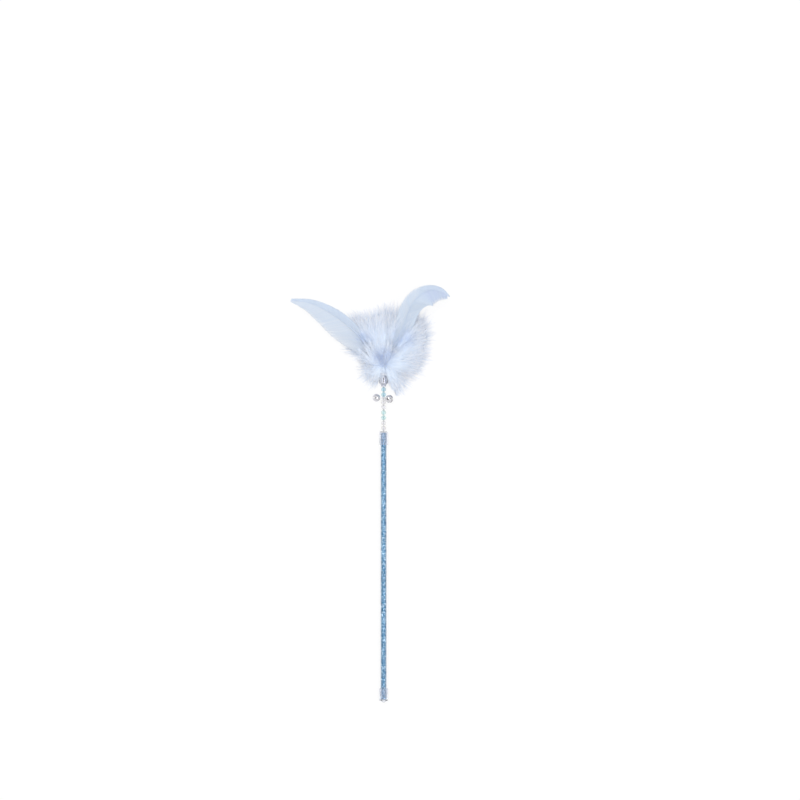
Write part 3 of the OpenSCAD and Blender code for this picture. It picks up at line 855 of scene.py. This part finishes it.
class TEASER_OT_line(bpy.types.Operator):
    """Finishes the line, bridges its bends and ties its two knots"""
    bl_idname = "teaser.line"
    bl_label = "Finish line"

    def execute(self, context):
        strand = context.scene.teaser.strand
        material = nylon(strand)
        radius = strand.line_width / 2
        chain = ["wand", *[f"link_{i}" for i in range(1, 10)], "knot"]
        joints = {(j["parent"], j["child"]): j for j in frame["joints"]}
        for i in range(1, 10):
            dress(f"line_link_{i}", material)
        for number, (below, above) in enumerate(zip(chain, chain[1:]), 1):
            if (below, above) not in joints:
                raise RuntimeError(f"no bend joins {below} and {above}")
            y = joints[below, above]["pos_m"][1]
            points = [Vector((0, y + step * MM * 0.1, 0)) for step in range(-6, 7)]
            round_part = tube_along(points, [radius * BEND_SHARE] * len(points), 20)
            bend = round_object(f"line_bend_{number}", [round_part], material)
            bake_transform(bend)
        # The top cap's knot goes on to the first bend, and the ferrule's knot starts at the last
        for name, body, width, upward in (
                ("anchor_knot", "wand", 3.2, True), ("head_knot", "knot", 3.0, False)):
            low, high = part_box(name)
            middle = low.y / MM + width / 2 if upward else high.y / MM - width / 2
            stem_end = high.y if upward else low.y
            stem = [
                Vector((0, lerp(middle * MM, stem_end, k / STEM_STEPS), 0)) for k in range(STEM_STEPS + 1)]
            if not upward:
                stem.reverse()
            tied = tube_along(knot_points(middle, width - 0.9), [radius] * (KNOT_STEPS + 1), 12)
            straight = tube_along(stem, [radius] * (STEM_STEPS + 1), 20)
            knot = round_object(name + "_tied", [tied, straight], material)
            finish_piece(knot, body, "line", name)
        return {"FINISHED"}


class TEASER_OT_beads(bpy.types.Operator):
    """Gives the faceted beads their clear, teal and aqua acrylic"""
    bl_idname = "teaser.beads"
    bl_label = "Finish beads"

    def execute(self, context):
        strand = context.scene.teaser.strand
        clear = bead_acrylic("clear_bead_acrylic", strand.clear)
        teal = bead_acrylic("teal_bead_acrylic", strand.teal)
        aqua = bead_acrylic("aqua_bead_acrylic", strand.aqua)
        for number, material in enumerate((clear, clear, teal, teal, clear, clear, aqua, aqua), 1):
            dress(f"bead_{number}", material)
        return {"FINISHED"}


class TEASER_OT_bells(bpy.types.Operator):
    """Plates the bells, their loops and their pellets"""
    bl_idname = "teaser.bells"
    bl_label = "Finish bells"

    def execute(self, context):
        tint = context.scene.teaser.metal.nickel
        nickel = plated("nickel_plated_steel", tint, 0.14)
        for side in ("left", "right"):
            for part in ("loop", "pellet"):
                dress(f"{side}_bell_{part}", nickel)
            low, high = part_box(f"{side}_bell_shell")
            hollow = (low + high) / 2, (high.x - low.x) / 2 * 0.94
            dress(f"{side}_bell_shell", plated(f"{side}_bell_plate", tint, 0.14, hollow))
        return {"FINISHED"}


class TEASER_OT_ferrule(bpy.types.Operator):
    """Plates the ferrule and finishes the glue and the marabou stems"""
    bl_idname = "teaser.ferrule"
    bl_label = "Finish ferrule"

    def execute(self, context):
        settings = context.scene.teaser
        dress("ferrule", plated("nickel_plated_brass", settings.metal.ferrule, 0.3))
        dress("glue_plug", glue_with_painted_shade(settings.metal))
        dress("plume_stems", quill_keratin(settings.feather))
        return {"FINISHED"}


# Goose feathers

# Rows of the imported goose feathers, counted from the ferrule's mouth in millimetres:
# x, y, z, half-width on the left, half-width on the right
LEFT_ROWS = [
    (-1.3, -5.4, 1.3, 0, 0), (-1.3, -2.6, 1.3, 0, 0), (-1.3, 0, 1.3, 0, 0), (-3, 9, 3.5, 0, 0),
    (-10, 22, 8, 7, 1.5), (-22, 37, 13, 15.5, 4.5), (-32, 47, 16, 18.5, 6), (-43, 56, 18.5, 18.5, 7),
    (-57, 65, 20.5, 15, 6), (-73, 72, 21.5, 9.5, 4), (-92.2, 74.8, 21, 1.5, 1.6),
]
RIGHT_ROWS = [
    (1.3, -5.4, 1.3, 0, 0), (1.3, -2.6, 1.3, 0, 0), (1.3, 0, 1.3, 0, 0), (3, 10, 4, 0, 0),
    (8.5, 28.5, 10, 3, 3), (14.5, 38, 13, 6, 6.5), (20.5, 51, 16, 9, 9.5), (26.5, 67, 19, 10, 10.5),
    (34.5, 78.5, 21, 8.5, 13), (45.5, 85, 22, 5.2, 16.5), (56.5, 83.5, 21.5, 4, 12.5),
    (65.5, 78, 20, 1, 2.5),
]
# Where each vane starts, as a row's number
VANE_START = 3.15
# Steps from row to row where a length is measured, and along a whole quill
ROW_STEPS = 60
QUILL_STEPS = 80


class Feather:
    """One goose feather's path, its frame at a place and its outline."""

    def __init__(self, rows):
        self.rows = rows
        self.steps = ROW_STEPS * (len(rows) - 1)
        spots = [self.frame(i / ROW_STEPS)[0] for i in range(self.steps + 1)]
        self.lengths = [0.0]
        for a, b in zip(spots, spots[1:]):
            self.lengths.append(self.lengths[-1] + (b - a).length)

    def frame(self, t):
        x, y, z, left, right = curve_at(self.rows, t)
        low = curve_at(self.rows, max(t - 0.02, 0))
        high = curve_at(self.rows, min(t + 0.02, len(self.rows) - 1))
        ahead = Vector([b - a for a, b in zip(low[:3], high[:3])]).normalized()
        side = ahead.cross(Vector((0, 0, 1))).normalized()
        return Vector((x, y + MOUTH_Y, z)), ahead, side, side.cross(ahead), max(left, 0.0), max(right, 0.0)

    def at_length(self, s):
        s = min(max(s, 0.0), self.lengths[-1])
        i = next((k for k in range(self.steps) if self.lengths[k + 1] >= s), self.steps - 1)
        gap = self.lengths[i + 1] - self.lengths[i]
        return self.frame((i + (s - self.lengths[i]) / gap) / ROW_STEPS)


def vane_light_and_shade(name, sign, part, x):
    """How pale a barb is, and how much paler at its tip, part of the way along its feather. Both are painted
    light and shade: one side of each vane is lighter and the other darker.
    """
    if name == "left_feather":
        return (0.45, 0.0) if sign > 0 else (0.72, 0.55 * max(0.0, 1 - abs(part - 0.52) * 4))
    # The right feather turns over near its end, and its vanes there are painted darker as painted shade
    turned = min(1.0, max(0.0, (x - 33) / 9))
    return lerp(0.5, 0.1, turned) if sign > 0 else lerp(0.6, 0.3, turned), 0.1


VANE_MARKS = ("aim", "reach", "up", "tipward", "tone", "pale")


def vane_spots(name, feather, sign, pitch, chance):
    """One spot for each barb on a vane's side: its root and its marks."""
    start = feather.lengths[int(VANE_START * ROW_STEPS)]
    end = feather.lengths[-1]
    spots = []
    s = start
    # Now and then the vane splits, and the barbs before the split lean ahead
    split_at, split_turn = start + chance.uniform(9, 16), 0.0
    while s < end - 0.2:
        spot, ahead, side, up, left, right = feather.at_length(s)
        half = left if sign < 0 else right
        lag = half * lerp(1.25, 0.9, (s - start) / (end - start))
        if s > split_at:
            split_turn = chance.uniform(0.5, 1.6)
            split_at = s + chance.uniform(8, 18)
        fade = max(0.0, 1.0 - (split_at - s) / 6)
        root = feather.at_length(max(start - 6, s - lag))[0]
        shorter = 1.0 - chance.uniform(0.0, 0.035)
        edge = spot + side * sign * half * shorter - up * (0.1 * half)
        aim = edge + ahead * fade * split_turn * half * 0.05 - root
        if aim.length > 0.3:
            tone = vane_light_and_shade(name, sign, s / end, root.x)
            spots.append((root, aim.normalized(), aim.length * MM, up, ahead, *tone))
        s += pitch * chance.uniform(0.85, 1.15)
    return spots


class TEASER_OT_goose_feathers(bpy.types.Operator):
    """Makes the two goose feathers: a tapered quill and rows of flat barbs"""
    bl_idname = "teaser.goose_feathers"
    bl_label = "Make goose feathers"

    def execute(self, context):
        settings = context.scene.teaser.feather
        vane_material = goose_vane(settings)
        quill_material = quill_keratin(settings)
        tree = vane_tree()
        for name, rows in (("left_feather", LEFT_ROWS), ("right_feather", RIGHT_ROWS)):
            feather = Feather(rows)
            chance = random.Random(name)
            for side_name, sign in (("left", -1), ("right", 1)):
                spots = vane_spots(name, feather, sign, settings.barb_pitch / MM, chance)
                vane = marked_object(f"{name}_{side_name}_vane", spots, VANE_MARKS)
                grow(vane, tree, Barb_width=settings.barb_width, Seed=len(spots), Material=vane_material)
                finish_piece(vane, "head", "goose_feather")
            steps = range(QUILL_STEPS + 1)
            points = [feather.frame((len(rows) - 1) * i / QUILL_STEPS)[0] * MM for i in steps]
            radii = [lerp(0.9, 0.22, (i / QUILL_STEPS) ** 0.7) * MM for i in steps]
            quill = round_object(f"{name}_quill", [tube_along(points, radii, 12)], quill_material)
            finish_piece(quill, "head", "goose_feather", name)
        return {"FINISHED"}


# Marabou

# The marabou plumes as packed: first and last angle, reach at each, height, and where it peaks
PLUME_ROWS = [
    (-70, -20, 28, 34, 14, 0.42), (-20, 14, 35, 45, 18, 0.42), (14, 44, 46, 60, 20, 0.42),
    (44, 84, 58, 60, 13.5, 0.72), (84, 120, 60, 56, 17, 0.5), (120, 142, 56, 50, 13, 0.72),
    (142, 164, 46, 30, 7.5, 0.6), (164, 252, 24, 20, 11, 0.42),
]
# Columns of a plume's row
HEIGHT, PEAK = 4, 5
# The mound of each plume ends this far inside the plume's outline, and its barbs cover the rest
MOUND_INSET = 6.0
MOUND_SHARE = 0.8
# The mound's height at its middle, and at its rim above the floor
HEART_Z = 5.5
RIM_Z = FLOOR_Z + 2.5
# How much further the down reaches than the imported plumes: angle in degrees, and millimetres
REACH_MORE = [
    (-68, 10), (-60, 3.5), (-50, 3), (-40, 1), (-30, -5), (-22, -3), (-14, 0), (-4, 2.5), (6, 0), (28, 0.5),
    (40, 2.5), (46, 4), (60, 2), (84, -2), (104, -3), (116, 0), (124, 5.5), (152, 6), (162, -2),
    (170, -8), (182, 0), (230, 5), (250, 6),
]
# Where the down rises round a goose feather: middle angle, half-width in degrees, how far out,
# and the feather's height at the middle and its rise for each millimetre out
BANKS = [(139, 18, 36, 4.9, 0.232), (62.5, 13, 46, 6.4, 0.21)]
BARB_MARKS = ("aim", "skin", "grown", "tip", "comb")


def ease(t):
    t = min(1.0, max(0.0, t))
    return t * t * (3 - 2 * t)


def round_the_hub(angle):
    """The way out from the hub at an angle in degrees."""
    a = math.radians(angle)
    return Vector((math.cos(a), math.sin(a), 0))


def across_plumes(angle, column):
    """A plume's height or peak at any angle, blended between the middles of the plumes."""
    middles = [(row[0] + row[1]) / 2 for row in PLUME_ROWS]
    if angle <= middles[0]:
        return PLUME_ROWS[0][column]
    for i in range(len(middles) - 1):
        if angle <= middles[i + 1]:
            t = (angle - middles[i]) / (middles[i + 1] - middles[i])
            return lerp(PLUME_ROWS[i][column], PLUME_ROWS[i + 1][column], ease(t))
    return PLUME_ROWS[-1][column]


def mound_edge(angle):
    """How far the soft mound reaches from its middle at an angle in degrees."""
    more = 0.0
    for (a0, m0), (a1, m1) in zip(REACH_MORE, REACH_MORE[1:]):
        if a0 <= angle <= a1:
            more = lerp(m0, m1, (angle - a0) / (a1 - a0))
    for a0, a1, r0, r1, *_ in PLUME_ROWS:
        if a0 <= angle <= a1:
            reach = lerp(r0, r1, (angle - a0) / (a1 - a0))
            return max(reach - MOUND_INSET, 0.7 * reach) + more
    return (HUB_Y - 0.6) / abs(math.sin(math.radians(angle)))


def grain_at(angle, v):
    """Smooth unevenness of the mound, between -1 and 1, with folds some 8 mm wide."""
    a = math.radians(angle)
    return noise.noise(Vector((math.cos(a) * 7, math.sin(a) * 7, v * 2)))


def mound_point(angle, v):
    """A place on the mound's top, v of the way from its middle to its edge."""
    a = math.radians(angle)
    grain = grain_at(angle, v)
    notch = noise.noise(Vector((math.cos(a) * 19, math.sin(a) * 19, 5.0)))
    edge = mound_edge(angle) * (1 + 0.05 * grain + 0.07 * notch * v * v)
    peak = across_plumes(angle, PEAK)
    high = across_plumes(angle, HEIGHT) * MOUND_SHARE
    if angle > 252 or angle < -70:
        z = lerp(HEART_Z, 4.6, v) + 3.4 * math.sin(math.pi * min(1.0, 1.1 * v))
    elif v < peak:
        z = lerp(HEART_Z, high, math.sin(math.pi / 2 * v / peak))
    else:
        z = lerp(RIM_Z, high, 1 - min(1.0, (v - peak) / (1 - peak)) ** 1.7)
    r = edge * v
    for middle, half, far, low, rise in BANKS:
        off = abs(angle - middle) / half
        level = low + rise * r + lerp(-0.8, 1.3, min(1.0, off) ** 2)
        beside, beyond = ease((1.7 - off) / 0.7), ease((far + 14 + 6 * notch - r) / 14)
        share = beside * beyond * ease(r / 12) * ease((1 - v) / 0.35)
        z = lerp(z, max(z, level), share)
    z += 1.1 * grain * math.sin(math.pi * min(1.0, v))
    return Vector((r * math.cos(a), MOUTH_Y + HUB_Y + r * math.sin(a), z))


def shell_faces(along, across, turned):
    """Faces of a closed shell: two sheets of rows of points, the top first, and the rim between them.

    Turned ones start a corner later and go round the rim the other way, which places other barbs.
    """
    row = across + 1
    under = (along + 1) * row
    faces = []
    for k in range(along):
        for c in range(k * row, k * row + across):
            top = (c, c + row, c + row + 1, c + 1)
            faces.append(top[1:] + top[:1] if turned else top)
            faces.append((c + under, c + 1 + under, c + row + 1 + under, c + row + under))
    rim = [*range(row), *[k * row + across for k in range(1, along + 1)]]
    rim += [*[along * row + j for j in reversed(range(across))], *[k * row for k in reversed(range(along))]]
    if turned:
        rim.reverse()
        return faces + [(a, a + under, b + under, b) for a, b in zip(rim, rim[1:])]
    return faces + [(a, b, b + under, a + under) for a, b in zip(rim, rim[1:])]


def mound_sector(a0, a1, around, out):
    """A closed slice of the mound: spots with the marks that its skin gives the barbs, and faces."""
    spots = []
    for top in (True, False):
        for k in range(out + 1):
            for j in range(around + 1):
                angle, v = lerp(a0, a1, j / around), k / out
                p = mound_point(angle, v)
                along = mound_point(angle, min(1, v + 0.02)) - mound_point(angle, max(0, v - 0.02))
                over = mound_point(angle + 1, max(v, 0.05)) - mound_point(angle - 1, max(v, 0.05))
                normal = along.cross(over).normalized()
                if normal.z < 0:
                    normal.negate()
                flat = round_the_hub(angle)
                aim = flat * 0.5 + along.normalized() * 0.5 + normal * lerp(0.25, 0.15, v)
                skin = lerp(0.25, 1.0, v ** 2)
                if not top:
                    # The underside is drawn in, a little hollow, and as downy as the top
                    p -= flat * 0.22 * mound_edge(angle) * v
                    p.z = FLOOR_Z + lerp(3.4, 1.4, v * v) + 0.5 * grain_at(angle, v)
                    aim = flat + Vector((0, 0, -0.35))
                    skin = 1.3 if k == out else lerp(0.5, 0.9, v)
                # Barbs beside the ferrule are short
                beside = max(0.0, 1 - abs((angle + 90 + 180) % 360 - 180) / 40)
                grown = lerp(0.6, 1.0, min(1.0, v * 2)) * (1 - 0.45 * beside)
                tip = max(0.0, (v - 0.5) / 0.5) ** 1.3 * (1.0 if top else 0.4)
                spots.append((p, aim.normalized(), skin, grown, tip, (angle * 0.9, v * 2.5, 0.0)))
    return spots, shell_faces(out, around, True)


def grow_down(obj, tree, settings, seed, material, share=1.0, **values):
    """Grows down on an object, with its barbs as long as a share of the setting."""
    grow(obj, tree, Barb_length=settings.barb_length * share, Barb_width=settings.barb_width,
         Floor=(FLOOR_Z + 0.15) * MM, Seed=seed, Material=material, **values)


class TEASER_OT_marabou(bpy.types.Operator):
    """Grows the marabou plumes: soft mounds that carry fine barbs"""
    bl_idname = "teaser.marabou"
    bl_label = "Grow marabou"

    def execute(self, context):
        settings = context.scene.teaser.marabou
        material = marabou_down(settings)
        tree = down_tree()
        for number, (first, last, *_) in enumerate(PLUME_ROWS, 1):
            # The first slice also covers the stems above the ferrule's mouth
            start = first if number > 1 else PLUME_ROWS[-1][1] - 360
            around = max(4, round((last - start) / 2))
            spots, faces = mound_sector(start, last, around, 24)
            plume = marked_object(f"marabou_{number}", spots, BARB_MARKS, faces)
            grow_down(plume, tree, settings, number, material, Density=settings.density * PER_SQUARE_MM)
            finish_piece(plume, "head", "marabou", f"plume_{number}")
        return {"FINISHED"}


# Soft locks over the quills: angle at the ferrule's mouth, length, and rise for each millimetre out
LOCKS = {
    "left_feather_down": [
        (86, 26, 0.30), (106, 36, 0.29), (119, 44, 0.29), (130, 34, 0.30), (141, 30, 0.27),
        (155, 26, 0.19), (182, 18, 0.12)],
    "right_feather_down": [
        (96, 26, 0.30), (80, 38, 0.30), (67, 30, 0.32), (54, 36, 0.28), (38, 32, 0.24),
        (16, 26, 0.18), (-8, 18, 0.12)],
}
LOCK_COUNT = 44
LOCK_WIDTH = 6.0
LOCK_ALONG = 12
LOCK_ACROSS = 6
STRAND_COUNT = 9
STRAND_STEPS = 6


def lock(angle, long, wide, rise):
    """A thin closed lens that lies over the quills: spots with the barbs' marks, and faces."""
    spots = []
    ahead = round_the_hub(angle)
    side = round_the_hub(angle + 90)
    root = Vector((0, MOUTH_Y + 1.5, 3.4)) + ahead * 1.5
    for top in (1, -1):
        for k in range(LOCK_ALONG + 1):
            v = k / LOCK_ALONG
            half = wide / 2 * (0.2 + 0.8 * math.sin(math.pi * min(1.0, 0.08 + 0.6 * v))) * (1 - v ** 2.5)
            for j in range(LOCK_ACROSS + 1):
                u = 2 * j / LOCK_ACROSS - 1
                grain = noise.noise(Vector((u * 2.2, v * 1.5, angle)))
                thick = (0.2 + 0.7 * math.sin(math.pi * v) ** 0.5) * (1 - u * u) ** 0.5
                p = root + ahead * (long * v * (1 - 0.08 * u * u)) + side * half * u
                p.z += long * rise * v - 0.9 * u * u * v * wide / 12 + top * thick * (1 + 0.5 * grain)
                aim = (ahead + side * u * 0.55 + Vector((0, 0, rise + 0.12))).normalized()
                skin = lerp(0.3, 1.3, v * v) if top > 0 else 0.0
                tip = 0.5 * v * v + 0.15 * u * u
                spots.append((p, aim, skin, lerp(0.45, 0.8, v), tip, (u * 3.0, v * 1.5, angle)))
    return spots, shell_faces(LOCK_ALONG, LOCK_ACROSS, False)


class TEASER_OT_tufts(bpy.types.Operator):
    """Grows the soft tufts that cover the quills and the deeper strands over the ferrule's mouth"""
    bl_idname = "teaser.tufts"
    bl_label = "Grow tufts"

    def execute(self, context):
        settings = context.scene.teaser.marabou
        material = marabou_down(settings)
        soft = down_tree()
        for name, rows in LOCKS.items():
            spots, faces = [], []
            chance = random.Random(name)
            for k in range(LOCK_COUNT):
                angle, long, rise = curve_at(rows, lerp(0, len(rows) - 1.001, k / (LOCK_COUNT - 1)))
                long *= chance.uniform(0.62, 1.05)
                more, more_faces = lock(
                    angle + chance.uniform(-3, 3), long, LOCK_WIDTH * chance.uniform(0.6, 1.1),
                    rise * chance.uniform(0.85, 1.1))
                faces += [tuple(v + len(spots) for v in face) for face in more_faces]
                spots += more
            down = marked_object(name, spots, BARB_MARKS, faces)
            grow_down(
                down, soft, settings, len(name), material, 0.8, Density=settings.density * PER_SQUARE_MM)
            finish_piece(down, "head", "marabou")
        chance = random.Random(5)
        vertices, edges, growns = [], [], []
        for k in range(STRAND_COUNT):
            turn = lerp(-0.55, 0.7, k / (STRAND_COUNT - 1)) + chance.uniform(-0.06, 0.06)
            start = Vector((math.sin(turn) * 3 + 0.5, MOUTH_Y + 9 + chance.uniform(-2, 3), 8.0))
            long = chance.uniform(9, 15)
            for i in range(STRAND_STEPS + 1):
                v = i / STRAND_STEPS
                p = start + Vector((math.sin(turn * (1 + v * 0.6)), math.cos(turn), 0.5 - 0.2 * v)) * long * v
                vertices.append(p * MM)
                growns.append(0.5 - 0.25 * v)
                if i:
                    edges.append((len(vertices) - 2, len(vertices) - 1))
        strands = mesh_object("quill_strands", vertices, attributes={"grown": growns}, edges=edges)
        grow_down(
            strands, tuft_tree(), settings, 77, material, Barb_pitch=0.0012, Barbs_in_a_ring=4,
            Least_spread=0.15, Most_spread=0.5)
        finish_piece(strands, "head", "marabou")
        return {"FINISHED"}


OPERATORS = (
    TEASER_OT_stage, TEASER_OT_tube, TEASER_OT_line, TEASER_OT_beads, TEASER_OT_bells,
    TEASER_OT_ferrule, TEASER_OT_goose_feathers, TEASER_OT_marabou, TEASER_OT_tufts,
)
GROUPS = (
    TubeSettings, StrandSettings, MetalSettings, FeatherSettings, MarabouSettings, StageSettings,
    TeaserSettings,
)


class TEASER_PT_panel(bpy.types.Panel):
    bl_idname = "TEASER_PT_panel"
    bl_label = "Cat teaser wand"
    bl_space_type = "VIEW_3D"
    bl_region_type = "UI"
    bl_category = "Teaser"

    def draw(self, context):
        for operator in OPERATORS:
            self.layout.operator(operator.bl_idname)
        settings = context.scene.teaser
        for group in ("tube", "strand", "metal", "feather", "marabou", "stage"):
            box = self.layout.box()
            values = getattr(settings, group)
            for key in values.__annotations__:
                box.prop(values, key)


def register():
    for group in GROUPS:
        bpy.utils.register_class(group)
    bpy.types.Scene.teaser = bpy.props.PointerProperty(type=TeaserSettings)
    for operator in OPERATORS:
        bpy.utils.register_class(operator)
    bpy.utils.register_class(TEASER_PT_panel)


def unregister():
    bpy.utils.unregister_class(TEASER_PT_panel)
    for operator in reversed(OPERATORS):
        bpy.utils.unregister_class(operator)
    del bpy.types.Scene.teaser
    for group in reversed(GROUPS):
        bpy.utils.unregister_class(group)


def main():
    register()
    bpy.ops.teaser.stage()
    bpy.ops.teaser.tube()
    bpy.ops.teaser.line()
    bpy.ops.teaser.beads()
    bpy.ops.teaser.bells()
    bpy.ops.teaser.ferrule()
    bpy.ops.teaser.goose_feathers()
    bpy.ops.teaser.marabou()
    bpy.ops.teaser.tufts()


if __name__ == "__main__":
    main()
